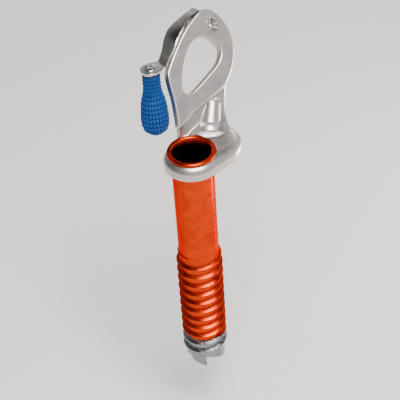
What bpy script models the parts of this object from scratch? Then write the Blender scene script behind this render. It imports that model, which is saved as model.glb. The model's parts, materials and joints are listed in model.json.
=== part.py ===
"""Ice screw with a folding crank: aluminium hanger, threaded tube, steel cutting crown,
crank arm on a cross pin and a knob that spins on its axle.

Units are metres, +Z runs up the tube axis and out of its mouth. The origin is the point of
the clip-in eye where a carabiner bears. Lengths below are in millimetres."""

import math

import bmesh
import bpy
from mathutils import Euler, Matrix, Vector

MM = 0.001

# Head and tube. The tube frame has its origin in the middle of the tube mouth.
ICE_FACE_Z = -9.0  # underside of the flange, which is driven flush with the ice
HEAD_TOP_Z = -1.4
USABLE_LENGTH = 130.0  # from the ice face to the tips of the teeth
RIM_RADIUS = 11.6
TUBE_RADIUS = 10.0
BORE_RADIUS = 8.2
CROWN_LENGTH = 20.0
CROWN_BORE_RADIUS = 7.6
THREAD_PITCH = 6.0
THREAD_HEIGHT = 1.6
THREAD_LENGTH = 72.0
TEETH = 4
TOOTH_DEPTH = 6.5
FIT = 0.15  # radial gap between pieces that are pressed or turn on each other

# Ear: a flat limb loop that leans back from the flange and is turned about its own length.
EAR_LEAN = math.radians(49.5)
EAR_SIDE_LEAN = math.radians(-4.0)
EAR_TWIST = math.radians(26.0)
EAR_BASE = Vector((0.0, 5.1, -4.35))
EAR_THICKNESS = 5.0
EAR_EDGE = 1.1
WEB_THICKNESS = 3.5

# Crank: its hinge pin lies level, turned away from the ear's face.
PIN_TURN = math.radians(-40.0)
PIN_MOUTH_P, PIN_MOUTH_Q = 11.1, 59.0  # where the pin bore breaks out of the ear's face
KNUCKLE_BACK = 10.3  # along the pin, from the bore mouth to the middle of the knuckle
KNUCKLE_WIDTH = 4.0
KNUCKLE_RADIUS = 4.1
PIN_RADIUS = 2.6
BARREL_RADIUS = 3.8
ARM_THICKNESS = 1.5
TAB_REACH = 35.7
TAB_SIDE = 0.6
TAB_Z = -9.2
TAB_RADIUS = 4.8

# Knob, on its own axis under the tab
KNOB_AXLE_RADIUS = 1.9

EAR_TURN = (Euler((EAR_LEAN, 0, 0)).to_matrix() @ Euler((0, 0, EAR_SIDE_LEAN)).to_matrix()
            @ Euler((0, EAR_TWIST, 0)).to_matrix())


def ear_point(p, q, r):
    """A point across (p), along (q) and out of (r) the ear, in the tube frame."""
    return EAR_BASE + EAR_TURN @ Vector((p, q, r))


EYE_BEARING = ear_point(6.5, 53.0, -EAR_THICKNESS / 2)
HINGE_MOUTH = ear_point(PIN_MOUTH_P, PIN_MOUTH_Q, 0.0)
PIN_DIRECTION = Vector((math.cos(PIN_TURN), math.sin(PIN_TURN), 0.0))
HINGE = HINGE_MOUTH - PIN_DIRECTION * KNUCKLE_BACK

for old in list(bpy.data.objects):
    bpy.data.objects.remove(old)

parts = bpy.data.collections.new("ice_screw")
cutters = bpy.data.collections.new("ice_screw_cutters")
cutters.hide_render = True
for made in (parts, cutters):
    bpy.context.scene.collection.children.link(made)

head = bpy.data.objects.new("head_frame", None)
head.location = -EYE_BEARING * MM
parts.objects.link(head)
crank = bpy.data.objects.new("crank_frame", None)
crank.parent = head
crank.location = HINGE * MM
crank.rotation_euler = (0, 0, PIN_TURN)
parts.objects.link(crank)
knob = bpy.data.objects.new("knob_frame", None)
knob.parent = crank
knob.location = Vector((TAB_SIDE, -TAB_REACH, TAB_Z)) * MM
parts.objects.link(knob)


def linear(channel):
    return channel / 12.92 if channel <= 0.04045 else ((channel + 0.055) / 1.055) ** 2.4


def material(name, colour, metallic, roughness):
    made = bpy.data.materials.new(name)
    made.use_nodes = True
    shader = made.node_tree.nodes["Principled BSDF"]
    rgb = [linear(int(colour[i:i + 2], 16) / 255) for i in (0, 2, 4)]
    shader.inputs["Base Color"].default_value = (*rgb, 1)
    shader.inputs["Metallic"].default_value = metallic
    shader.inputs["Roughness"].default_value = roughness
    made.diffuse_color = (*rgb, 1)
    return made


def place(obj, paint=None, parent=head):
    """Puts a finished piece under its frame, or a helper shape among the cutters."""
    obj.parent = parent
    if paint is None:
        cutters.objects.link(obj)
        obj.hide_render = True
        obj.display_type = "WIRE"
    else:
        parts.objects.link(obj)
        obj.data.materials.clear()
        obj.data.materials.append(paint)
    return obj


def mesh_object(name, points, faces):
    """A mesh from points in millimetres, with its faces turned outward."""
    mesh = bpy.data.meshes.new(name)
    mesh.from_pydata([Vector(p) * MM for p in points], [], faces)
    shape = bmesh.new()
    shape.from_mesh(mesh)
    bmesh.ops.recalc_face_normals(shape, faces=shape.faces)
    shape.to_mesh(mesh)
    shape.free()
    return bpy.data.objects.new(name, mesh)


def turned(name, profile, steps=48, closed=False):
    """A body of revolution about Z from (radius, height) pairs; closed makes a hollow ring."""
    mesh = bpy.data.meshes.new(name)
    count = len(profile)
    edges = [(i, i + 1) for i in range(count - 1)] + ([(count - 1, 0)] if closed else [])
    mesh.from_pydata([(r * MM, 0, z * MM) for r, z in profile], edges, [])
    obj = bpy.data.objects.new(name, mesh)
    screw = obj.modifiers.new("Turn", "SCREW")
    screw.steps = screw.render_steps = steps
    screw.use_merge_vertices = True
    screw.merge_threshold = 0.00001
    return obj


def loft(name, rings):
    """A closed body through rings of equally many points, capped at both ends."""
    size = len(rings[0])
    points = [point for ring in rings for point in ring]
    faces = []
    for k in range(len(rings) - 1):
        for i in range(size):
            j = (i + 1) % size
            faces.append((k * size + i, k * size + j, (k + 1) * size + j, (k + 1) * size + i))
    last = (len(rings) - 1) * size
    faces += [tuple(range(size)), tuple(range(last, last + size))]
    return mesh_object(name, points, faces)


def ellipse_ring(centre, along, wide, deep, sharpness=2.4, points=28):
    """A rounded section: `wide` and `deep` are half-width vectors, sharpness squares it."""
    ring = []
    for i in range(points):
        t = 2 * math.pi * i / points
        c, s = math.cos(t), math.sin(t)
        x = math.copysign(abs(c) ** (2 / sharpness), c)
        y = math.copysign(abs(s) ** (2 / sharpness), s)
        ring.append(Vector(centre) + wide * x + deep * y)
    return ring


def flat_outline(name, outlines, half, edge, turn, base, resolution=5):
    """A plate from smooth closed outlines (the first is the rim, the rest are holes)."""
    curve = bpy.data.curves.new(name, "CURVE")
    curve.dimensions = "2D"
    curve.fill_mode = "BOTH"
    curve.extrude = (half - edge) * MM
    curve.bevel_depth = edge * MM
    curve.bevel_resolution = 1
    curve.offset = -edge * MM
    curve.resolution_u = resolution
    for outline in outlines:
        spline = curve.splines.new("BEZIER")
        spline.bezier_points.add(len(outline) - 1)
        for point, (x, y) in zip(spline.bezier_points, outline):
            point.co = (x * MM, y * MM, 0)
            point.handle_left_type = point.handle_right_type = "AUTO"
        spline.use_cyclic_u = True
    obj = bpy.data.objects.new(name + "_curve", curve)
    bpy.context.scene.collection.objects.link(obj)
    graph = bpy.context.evaluated_depsgraph_get()
    mesh = bpy.data.meshes.new_from_object(obj.evaluated_get(graph))
    bpy.data.objects.remove(obj)
    shape = bmesh.new()
    shape.from_mesh(mesh)
    bmesh.ops.remove_doubles(shape, verts=shape.verts, dist=0.000005)
    bmesh.ops.recalc_face_normals(shape, faces=shape.faces)
    shape.to_mesh(mesh)
    shape.free()
    made = bpy.data.objects.new(name, mesh)
    made.matrix_basis = Matrix.Translation(base * MM) @ turn.to_4x4()
    return made


def rod(name, start, end, radius, end_radius=None, sides=40):
    """A straight cylinder or cone between two points."""
    start, end = Vector(start), Vector(end)
    mesh = bpy.data.meshes.new(name)
    shape = bmesh.new()
    bmesh.ops.create_cone(shape, cap_ends=True, segments=sides, radius1=radius * MM,
                          radius2=(radius if end_radius is None else end_radius) * MM,
                          depth=(end - start).length * MM)
    shape.to_mesh(mesh)
    shape.free()
    obj = bpy.data.objects.new(name, mesh)
    turn = (end - start).to_track_quat("Z", "Y").to_matrix().to_4x4()
    obj.matrix_basis = Matrix.Translation((start + end) / 2 * MM) @ turn
    return obj


def box(name, centre, size, turn=Matrix.Identity(3)):
    mesh = bpy.data.meshes.new(name)
    shape = bmesh.new()
    bmesh.ops.create_cube(shape, size=MM, matrix=Matrix.Diagonal((*size, 1)))
    shape.to_mesh(mesh)
    shape.free()
    obj = bpy.data.objects.new(name, mesh)
    obj.matrix_basis = Matrix.Translation(Vector(centre) * MM) @ turn.to_4x4()
    return obj


def combine(obj, others, operation, parent=head):
    for other in others:
        place(other, None, parent)
        step = obj.modifiers.new(other.name, "BOOLEAN")
        step.operation = operation
        step.solver = "EXACT"
        step.object = other


aluminium = material("satin_aluminium", "a9a8a8", 1.0, 0.38)
orange = material("orange_anodised_aluminium", "cf4a1c", 0.9, 0.32)
steel = material("polished_stainless_steel", "8f8f8e", 1.0, 0.18)
tool_steel = material("hardened_tool_steel", "7d7f82", 1.0, 0.3)
spring_steel = material("spring_steel", "6d6e70", 1.0, 0.3)
blue = material("blue_moulded_polyamide", "0a62b8", 0.0, 0.42)
black = material("black_acetal", "18191b", 0.0, 0.5)

# --- Hanger -------------------------------------------------------------------------

EAR_RIM = [(9.5, 66.5), (15.5, 63.0), (20.2, 57.0), (22.5, 49.5), (22.4, 41.5), (20.3, 34.0),
           (16.5, 29.0), (11.0, 24.6), (3.0, 18.0), (-4.4, 11.2), (-6.3, 10.2), (-7.0, 14.5),
           (-8.8, 23.0), (-11.0, 30.0), (-12.0, 35.0), (-10.3, 40.5), (-7.1, 48.0), (-2.9, 56.2),
           (2.2, 63.0), (5.4, 65.6)]
EAR_EYE = [(5.2, 53.2), (10.8, 52.2), (15.0, 47.8), (14.2, 41.8), (8.2, 34.6), (1.4, 27.6),
           (-2.2, 26.3), (-4.3, 28.6), (-4.3, 35.0), (-3.1, 42.0), (0.4, 49.6)]


def neck_rings():
    """Sections from inside the flange up to the foot of the ear's right limb."""
    across = Vector((0.998, -0.045, -0.053))
    along_ear = EAR_TURN.col[0]
    stations = [((8.0, 11.6, -7.6), 13.5, 7.9, 0.0), ((8.8, 16.0, -3.9), 11.2, 5.5, 0.0),
                ((9.5, 21.5, -0.7), 8.6, 3.3, 0.0), ((10.3, 26.2, 3.2), 7.1, 2.9, 0.1),
                ((11.8, 30.3, 7.9), 6.4, 2.7, 0.4), ((14.2, 33.4, 13.2), 4.9, 2.5, 0.8),
                ((16.2, 36.6, 18.9), 3.3, 1.9, 1.0)]
    centres = [Vector(s[0]) for s in stations]
    rings = []
    for k, (centre, wide, deep, turn) in enumerate(stations):
        before, after = centres[max(k - 1, 0)], centres[min(k + 1, len(centres) - 1)]
        path = (after - before).normalized()
        side = across.lerp(along_ear, turn)
        side = (side - path * side.dot(path)).normalized()
        if k == 0:
            path, side = Vector((0, 0, 1)), Vector((1, 0, 0))
        rings.append(ellipse_ring(centre, path, side * wide, path.cross(side) * deep))
    return rings


def web_rings():
    """Sections of the wall that closes the angle between the flange and the ear's low limb."""
    feet = [(-6.2, 12.2, -4.0), (1.0, 15.5, -2.0), (7.0, 21.5, 1.0), (11.0, 28.5, 6.5)]
    heads = [(-5.5, 14.0), (1.0, 21.0), (8.0, 27.5), (14.0, 33.0)]
    half = EAR_TURN.col[2] * WEB_THICKNESS / 2
    rings = []
    for foot, (p, q) in zip(feet, heads):
        low, high = Vector(foot), ear_point(p, q, 1.5 - EAR_THICKNESS)
        rings.append([low - half, low + half, high + half, high - half])
    return rings


def flange_outline():
    """Plan of the flange: a round seat for the tube, drawn out towards the neck."""
    seat, lobe = (Vector((0, 0)), 13.4), (Vector((9.5, 9.5)), 14.4)
    line = []
    for centre, radius, start, stop in ((*seat, 131, 316), (*lobe, -43, 128)):
        for k in range(17):
            t = math.radians(start + (stop - start) * k / 16)
            line.append((centre.x + radius * math.cos(t), centre.y + radius * math.sin(t)))
    return line


def flange_body():
    outline = flange_outline()
    rings = []
    for inset, z in ((0.6, ICE_FACE_Z), (0.0, ICE_FACE_Z + 0.6), (0.0, -5.0), (0.7, -3.2),
                     (2.0, -2.0), (3.6, HEAD_TOP_Z)):
        rings.append([Vector((x, y, z)) - Vector((x - 4.0, y - 4.0, 0)).normalized() * inset
                      for x, y in outline])
    return loft("flange", rings)


def build_hanger():
    ear = flat_outline("hanger", [EAR_RIM, EAR_EYE[::-1]], EAR_THICKNESS / 2, EAR_EDGE,
                       EAR_TURN, ear_point(0, 0, -EAR_THICKNESS / 2))
    place(ear, aluminium)
    column = rod("column", (9.2, 18.0, -2.2), (11.3, 27.6, 6.6), 5.4, 4.2)
    foot = rod("column_foot", (8.95, 15.1, -3.95), (9.4, 18.8, -1.45), 6.1, 5.85)
    slot_turn = Matrix.Rotation(PIN_TURN, 3, "Z") @ Matrix.Rotation(math.radians(36), 3, "X")
    slot_width = KNUCKLE_WIDTH + 0.6
    back = slot_width / 2 + 1.5

    def in_slot(name, low, high):
        """A box squared to the slot, from corner to corner about the hinge point."""
        low, high = Vector(low), Vector(high)
        return box(name, HINGE + slot_turn @ ((low + high) / 2), high - low, slot_turn)

    barrel = rod("hinge_barrel", HINGE_MOUTH - PIN_DIRECTION * 5.0,
                 HINGE - PIN_DIRECTION * back, BARREL_RADIUS)
    bridge = in_slot("hinge_bridge", (0.15 - back, -8.4, -2.4), (KNUCKLE_BACK - 5.2, -4.7, 1.0))
    lug = in_slot("rear_lug", (0.3 - back, -8.1, -2.8), (0.2 - slot_width / 2, -0.4, 1.0))
    combine(ear, [loft("neck", neck_rings()), loft("web", web_rings()), column, foot,
                  flange_body(), barrel, bridge, lug], "UNION")
    side = slot_width / 2
    slot = in_slot("knuckle_slot", (-side, -13.0, 1.5), (side, 13.0, 12.3))
    swing = in_slot("arm_swing", (-side - 0.01, -4.55, -4.5), (side + 0.01, 13.0, 1.6))
    stop = in_slot("arm_stop", (-side - 0.02, -1.65, -9.5), (side + 0.02, 14.0, -4.3))
    bore = rod("tube_bore", (0, 0, -20), (0, 0, 10), TUBE_RADIUS + FIT)
    pin = rod("pin_bore", HINGE_MOUTH + PIN_DIRECTION * 12, HINGE - PIN_DIRECTION * 12,
              PIN_RADIUS + FIT, sides=32)
    recess = rod("lock_ring_recess", (0, 0, ICE_FACE_Z - 3), (0, 0, ICE_FACE_Z + 2.2), 12.0)
    seat = rod("rim_seat", (0, 0, HEAD_TOP_Z), (0, 0, 2.4), RIM_RADIUS + 0.35, sides=48)
    combine(ear, [slot, swing, stop, bore, pin, recess, seat], "DIFFERENCE")
    return ear


# --- Tube and crown -----------------------------------------------------------------

TIP_Z = ICE_FACE_Z - USABLE_LENGTH
SEAM_Z = TIP_Z + CROWN_LENGTH


def thread_ridge(name):
    """A helical ridge that fades in behind the teeth and out up the tube."""
    start, steps = TIP_Z + TOOTH_DEPTH + 1.5, 32
    turns = (THREAD_LENGTH - 2.0) / THREAD_PITCH
    count = int(turns * steps)
    profile = bpy.data.curves.new(name + "_profile", "CURVE")
    profile.dimensions = "2D"
    line = profile.splines.new("POLY")
    shape = [(-0.6, -2.1), (THREAD_HEIGHT, -0.35), (THREAD_HEIGHT, 0.35), (-0.6, 1.3)]
    line.points.add(len(shape) - 1)
    for point, (x, y) in zip(line.points, shape):
        point.co = (x * MM, y * MM, 0, 1)
    line.use_cyclic_u = True
    profile_obj = bpy.data.objects.new(name + "_profile", profile)
    bpy.context.scene.collection.objects.link(profile_obj)
    curve = bpy.data.curves.new(name, "CURVE")
    curve.dimensions = "3D"
    curve.twist_mode = "Z_UP"
    curve.bevel_mode = "OBJECT"
    curve.bevel_object = profile_obj
    curve.use_fill_caps = True
    helix = curve.splines.new("POLY")
    helix.points.add(count)
    for i, point in enumerate(helix.points):
        t = 2 * math.pi * i / steps
        point.co = (TUBE_RADIUS * math.cos(t) * MM, TUBE_RADIUS * math.sin(t) * MM,
                    (start + THREAD_PITCH * i / steps) * MM, 1)
        point.radius = min(1.0, 0.25 + 0.75 * i / 16, 0.25 + 0.75 * (count - i) / 24)
    curve_obj = bpy.data.objects.new(name, curve)
    bpy.context.scene.collection.objects.link(curve_obj)
    graph = bpy.context.evaluated_depsgraph_get()
    mesh = bpy.data.meshes.new_from_object(curve_obj.evaluated_get(graph))
    bpy.data.objects.remove(curve_obj)
    bpy.data.objects.remove(profile_obj)
    shape = bmesh.new()
    shape.from_mesh(mesh)
    bmesh.ops.remove_doubles(shape, verts=shape.verts, dist=0.00001)
    bmesh.ops.recalc_face_normals(shape, faces=shape.faces)
    shape.to_mesh(mesh)
    shape.free()
    return bpy.data.objects.new(name, mesh)


def build_tube():
    r, b = TUBE_RADIUS, BORE_RADIUS
    profile = [(b, SEAM_Z + 6.2), (b, -4.0), (9.1, -1.4), (9.5, -0.5), (10.0, 0.0), (10.8, 0.0),
               (11.4, -0.3), (RIM_RADIUS, -0.8), (RIM_RADIUS, HEAD_TOP_Z + 0.1), (r, HEAD_TOP_Z + 0.1),
               (r, SEAM_Z + 0.15), (8.9, SEAM_Z + 0.15), (8.9, SEAM_Z + 6.2)]
    tube = place(turned("tube", profile, 48, closed=True), orange)
    combine(tube, [thread_ridge("thread_up")], "UNION")
    low = rod("below_seam", (0, 0, SEAM_Z - 40), (0, 0, SEAM_Z + 0.15), 20)
    combine(tube, [low], "DIFFERENCE")
    return tube


def tooth_gap(k):
    """The notch between two teeth, steep on the cutting side and sloped behind."""
    turn = 2 * math.pi * k / TEETH
    outer = 14.0
    first, last = turn, turn + 2 * math.pi / TEETH * 0.97
    rings = []
    for t, z in ((first, TIP_Z + TOOTH_DEPTH + 0.8), (first + 0.25, TIP_Z + TOOTH_DEPTH + 0.4),
                 ((first + last) / 2, TIP_Z + TOOTH_DEPTH * 0.55), (last, TIP_Z + 0.2)):
        direction = Vector((math.cos(t), math.sin(t), 0))
        rings.append([direction * 4 + Vector((0, 0, z - 0.6)), direction * outer + Vector((0, 0, z)),
                      direction * outer + Vector((0, 0, TIP_Z - 5)),
                      direction * 4 + Vector((0, 0, TIP_Z - 5))])
    return loft(f"tooth_gap_{k}", rings)


def build_crown():
    r, b = TUBE_RADIUS, CROWN_BORE_RADIUS
    profile = [(b, TIP_Z), (b, SEAM_Z + 6.0), (8.75, SEAM_Z + 6.0), (8.75, SEAM_Z), (r, SEAM_Z),
               (r, TIP_Z + 1.5), (r - 0.5, TIP_Z)]
    crown = place(turned("cutting_crown", profile, 48, closed=True), tool_steel)
    combine(crown, [thread_ridge("thread_low")], "UNION")
    high = turned_ring("above_seam", 9.2, 20, SEAM_Z + 0.03, SEAM_Z + 80)
    combine(crown, [high] + [tooth_gap(k) for k in range(TEETH)], "DIFFERENCE")
    return crown


def turned_ring(name, inner, outer, low, high):
    return turned(name, [(inner, high), (outer, high), (outer, low), (inner, low)], 48, closed=True)


def build_lock_ring():
    z = ICE_FACE_Z
    ring = turned("tube_lock_ring", [(10.15, z + 2.0), (11.6, z + 2.0), (11.8, z + 1.8),
                                     (11.8, z + 0.3), (11.6, z + 0.1), (10.15, z + 0.1)],
                  48, closed=True)
    return place(ring, spring_steel)


# --- Crank --------------------------------------------------------------------------


def build_pin():
    end = KNUCKLE_BACK - 1.5
    pin = turned("hinge_pin", [(0, end), (1.1, end - 0.25), (2.0, end - 0.9), (PIN_RADIUS, end - 1.9),
                               (PIN_RADIUS, -3.6), (2.2, -4.0), (0, -4.0)], 32)
    place(pin, steel, crank)
    pin.rotation_euler = (0, math.pi / 2, 0)
    return pin


def arm_section(side, reach, z, width, slope):
    """A strip section square to its path, `slope` being the fall of the path there."""
    up = Vector((0, -math.sin(slope), math.cos(slope))) * ARM_THICKNESS / 2
    wide = Vector((width / 2, 0, 0))
    middle = Vector((side, -reach, z))
    return [middle - wide - up, middle + wide - up, middle + wide + up, middle - wide + up]


def build_arm():
    half = ARM_THICKNESS / 2
    stations = [(0.0, 1.2, 4.6, 4.0, 0.0), (0.0, 5.0, 4.6, 4.0, 0.05), (0.0, 7.8, 4.35, 4.1, 0.14),
                (0.2, 10.0, 4.0, 4.9, 0.24), (0.6, 13.8, 3.3, 6.3, 0.34), (1.0, 17.4, 2.3, 7.1, 0.5),
                (1.65, 20.0, 1.1, 7.3, 0.66), (2.1, 22.5, -1.0, 7.0, 0.86), (2.35, 24.5, -3.6, 6.2, 0.92),
                (2.4, 26.1, -5.2, 5.6, 0.84), (2.4, 27.4, -6.8, 5.5, 0.68),
                (2.4, 28.7, TAB_Z + half + 0.1, 5.9, 0.2), (2.1, 30.4, TAB_Z + half, 7.0, 0.0),
                (TAB_SIDE, TAB_REACH, TAB_Z + half, 2 * TAB_RADIUS, 0.0)]
    arm = loft("crank_arm", [arm_section(*station) for station in stations])
    place(arm, steel, crank)
    knuckle = rod("knuckle", (-KNUCKLE_WIDTH / 2, 0, 0), (KNUCKLE_WIDTH / 2, 0, 0), KNUCKLE_RADIUS,
                  sides=36)
    web_line = ((-3.6, 1.0), (3.4, 1.6), (0.6, 5.3), (-5.4, 5.0))
    web = loft("knuckle_web", [[Vector((x, y, z)) for y, z in web_line]
                               for x in (-KNUCKLE_WIDTH / 2, KNUCKLE_WIDTH / 2)])
    tab = rod("tab_end", (TAB_SIDE, -TAB_REACH, TAB_Z), (TAB_SIDE, -TAB_REACH, TAB_Z + ARM_THICKNESS),
              TAB_RADIUS, sides=40)
    combine(arm, [web, knuckle, tab], "UNION", crank)
    hole = rod("axle_hole", (TAB_SIDE, -TAB_REACH, TAB_Z - 5), (TAB_SIDE, -TAB_REACH, TAB_Z + 5),
               KNOB_AXLE_RADIUS + FIT, sides=32)
    pin_hole = rod("arm_pin_hole", (-9, 0, 0), (9, 0, 0), PIN_RADIUS + FIT, sides=32)
    combine(arm, [hole, pin_hole], "DIFFERENCE", crank)
    return arm


# --- Knob ---------------------------------------------------------------------------

# Outer line of the grip: (radius, distance below the tab)
GRIP = [(4.1, 0.9), (4.3, 1.6), (4.35, 6.0), (4.5, 9.5), (4.95, 12.4), (5.8, 15.4), (6.3, 18.5),
        (6.7, 22.5), (6.95, 26.5), (6.8, 29.6), (6.0, 32.4), (4.7, 33.8)]
SLEEVE_RADIUS = 2.9
CAP_RADIUS = 4.0
CAP_DEPTH = 5.0


def build_knob():
    end = GRIP[-1][1]
    grip_line = ([(SLEEVE_RADIUS + FIT, -0.9)] + [(r, -d) for r, d in GRIP]
                 + [(CAP_RADIUS + FIT, -end), (CAP_RADIUS + FIT, -end + CAP_DEPTH),
                    (SLEEVE_RADIUS + FIT, -end + CAP_DEPTH)])
    grip = place(turned("knob_grip", grip_line, 36, closed=True), blue, knob)
    sleeve = turned("knob_sleeve", [(KNOB_AXLE_RADIUS + FIT, -0.9), (SLEEVE_RADIUS, -0.9),
                                    (SLEEVE_RADIUS, -end + CAP_DEPTH + 0.2),
                                    (KNOB_AXLE_RADIUS + FIT, -end + CAP_DEPTH + 0.2)], 32, closed=True)
    place(sleeve, black, knob)
    washer = turned("knob_washer", [(KNOB_AXLE_RADIUS + FIT, -0.1), (4.2, -0.1), (4.2, -0.7),
                                    (KNOB_AXLE_RADIUS + FIT, -0.7)], 32, closed=True)
    place(washer, steel, knob)
    top = ARM_THICKNESS + 0.1
    axle = turned("knob_axle", [(0, top + 0.9), (2.0, top + 0.9), (2.75, top + 0.6), (3.1, top),
                                (KNOB_AXLE_RADIUS, top), (KNOB_AXLE_RADIUS, -end + CAP_DEPTH - 1.4),
                                (1.6, -end + CAP_DEPTH - 1.8), (0, -end + CAP_DEPTH - 1.8)], 32)
    place(axle, steel, knob)
    keeper = turned("knob_keeper", [(KNOB_AXLE_RADIUS + 0.02, -end + CAP_DEPTH - 0.1),
                                    (3.7, -end + CAP_DEPTH - 0.1), (3.7, -end + CAP_DEPTH - 0.9),
                                    (KNOB_AXLE_RADIUS + 0.02, -end + CAP_DEPTH - 0.9)], 32, closed=True)
    place(keeper, spring_steel, knob)
    cap = turned("knob_end_cap", [(0, -end + 2.6), (CAP_RADIUS - 0.9, -end + 2.6), (CAP_RADIUS, -end + 1.8),
                                  (CAP_RADIUS, -end - 0.05), (3.0, -end - 0.45), (0, -end - 0.6)], 36)
    place(cap, blue, knob)


build_hanger()
build_tube()
build_crown()
build_lock_ring()
build_pin()
build_arm()
build_knob()
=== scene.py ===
# %% [markdown]
# # An ice screw with a folding crank
#
# An ice screw is a threaded tube that a climber winds into ice by hand. A forged aluminium
# hanger sits on its head and gives a carabiner somewhere to clip. A small steel crank folds
# out of the hanger and ends in a knob that spins, so the screw goes in without a wrench.
#
# This notebook dresses a packed engineering model.

import json
import math

import bmesh
import bpy
from mathutils import Euler, Matrix, Vector


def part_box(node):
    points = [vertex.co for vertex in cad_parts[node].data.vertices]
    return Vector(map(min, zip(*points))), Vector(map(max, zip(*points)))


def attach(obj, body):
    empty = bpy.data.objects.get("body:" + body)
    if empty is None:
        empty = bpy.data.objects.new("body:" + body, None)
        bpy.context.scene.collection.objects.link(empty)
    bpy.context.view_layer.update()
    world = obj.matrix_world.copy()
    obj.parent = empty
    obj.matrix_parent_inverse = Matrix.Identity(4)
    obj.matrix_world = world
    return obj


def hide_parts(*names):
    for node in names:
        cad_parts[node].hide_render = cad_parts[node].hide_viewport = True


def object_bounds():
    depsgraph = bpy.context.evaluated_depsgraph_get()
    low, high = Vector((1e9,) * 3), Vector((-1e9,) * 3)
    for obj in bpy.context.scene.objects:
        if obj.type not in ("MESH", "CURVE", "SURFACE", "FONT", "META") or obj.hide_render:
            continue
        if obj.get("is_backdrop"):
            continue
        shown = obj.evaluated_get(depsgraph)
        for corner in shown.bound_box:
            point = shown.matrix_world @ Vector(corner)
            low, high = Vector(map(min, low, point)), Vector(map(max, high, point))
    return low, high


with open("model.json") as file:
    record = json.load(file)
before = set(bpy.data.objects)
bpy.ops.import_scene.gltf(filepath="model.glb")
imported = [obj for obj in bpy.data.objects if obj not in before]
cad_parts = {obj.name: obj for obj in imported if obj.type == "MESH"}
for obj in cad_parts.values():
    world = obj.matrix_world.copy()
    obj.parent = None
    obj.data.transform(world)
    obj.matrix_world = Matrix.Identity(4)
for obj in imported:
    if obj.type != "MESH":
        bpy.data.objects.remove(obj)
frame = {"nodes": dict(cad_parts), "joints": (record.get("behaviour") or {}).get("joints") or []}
cad_low, cad_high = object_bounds()

# %% [markdown]
# ## Working frame
#
# The pieces are easiest to draw in millimetres about the middle of the tube mouth, with Z
# up the tube. The frame tells where that is. The hinge and the knob each get a frame of
# their own, read from the joints, so the pieces meet the bodies that move them.

# %% Frames for the head, the hinge and the knob
MM = 0.001
tube_low, tube_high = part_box("tube")
MOUTH = Vector(((tube_low.x + tube_high.x) / 2, (tube_low.y + tube_high.y) / 2, tube_high.z))
joints = {joint["name"]: joint for joint in frame["joints"]}
HINGE = Vector(joints["crank_fold"]["pos_m"])
KNOB = Vector(joints["knob_spin"]["pos_m"])
hinge_axis = -Vector(joints["crank_fold"]["axis"])
PIN_TURN = math.atan2(hinge_axis.y, hinge_axis.x)

head = Matrix.Translation(MOUTH) @ Matrix.Scale(MM, 4)
crank = Matrix.Translation(HINGE) @ Matrix.Rotation(PIN_TURN, 4, "Z") @ Matrix.Scale(MM, 4)
knob = Matrix.Translation(KNOB) @ Matrix.Rotation(PIN_TURN, 4, "Z") @ Matrix.Scale(MM, 4)
print("mouth", [round(v, 4) for v in MOUTH], "pin turned", round(math.degrees(PIN_TURN), 1))

# %% [markdown]
# ## Small tools
#
# A few helpers make every piece. `skin` joins rings of points into a closed surface,
# `turned` and `solid_turned` spin a profile about an axis the way a lathe does, and
# `smooth_line` draws a curve through a few stations, so a long shape needs few numbers.


# %% Helpers for meshes
def mesh_from(name, points, faces, place):
    """A mesh object from points in the given frame, faces turned outward."""
    mesh = bpy.data.meshes.new(name)
    mesh.from_pydata([place @ Vector(point) for point in points], [], faces)
    shape = bmesh.new()
    shape.from_mesh(mesh)
    bmesh.ops.recalc_face_normals(shape, faces=shape.faces)
    shape.to_mesh(mesh)
    shape.free()
    obj = bpy.data.objects.new(name, mesh)
    bpy.context.scene.collection.objects.link(obj)
    return obj


def skin(name, rings, place, closed=False):
    """A skin over rings of equally many points; an open row of rings is capped."""
    size, count = len(rings[0]), len(rings)
    points = [point for ring in rings for point in ring]
    faces = []
    for k in range(count if closed else count - 1):
        here, there = k * size, (k + 1) % count * size
        faces += [(here + i, here + (i + 1) % size, there + (i + 1) % size, there + i)
                  for i in range(size)]
    if not closed:
        faces += [tuple(range(size)), tuple(range((count - 1) * size, count * size))]
    return mesh_from(name, points, faces, place)


def turned(name, profile, place, steps=96):
    """A ring-shaped body: a closed loop of (radius, height) pairs turned about Z."""
    rings = []
    for k in range(steps):
        t = 2 * math.pi * k / steps
        rings.append([(r * math.cos(t), r * math.sin(t), z) for r, z in profile])
    return skin(name, rings, place, closed=True)


def solid_turned(name, profile, place, steps=96):
    """A solid of revolution: the first and last points of the profile lie on the axis."""
    points, faces, size = [(0, 0, profile[0][1]), (0, 0, profile[-1][1])], [], len(profile) - 2
    for k in range(steps):
        t = 2 * math.pi * k / steps
        points += [(r * math.cos(t), r * math.sin(t), z) for r, z in profile[1:-1]]
    for k in range(steps):
        here, there = 2 + k * size, 2 + (k + 1) % steps * size
        faces.append((0, here, there))
        faces += [(here + i, here + i + 1, there + i + 1, there + i) for i in range(size - 1)]
        faces.append((here + size - 1, 1, there + size - 1))
    return mesh_from(name, points, faces, place)


def smooth_line(stations, per_gap):
    """Points on a smooth line through the stations, each a tuple of numbers."""
    line = []
    last = len(stations) - 1
    for k in range(last):
        before, here = stations[max(k - 1, 0)], stations[k]
        there, after = stations[k + 1], stations[min(k + 2, last)]
        for j in range(per_gap):
            t = j / per_gap
            line.append(tuple(
                0.5 * (2 * b + (c - a) * t + (2 * a - 5 * b + 4 * c - d) * t * t
                       + (3 * b - a - 3 * c + d) * t ** 3)
                for a, b, c, d in zip(before, here, there, after)))
    return line + [tuple(stations[-1])]
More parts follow.
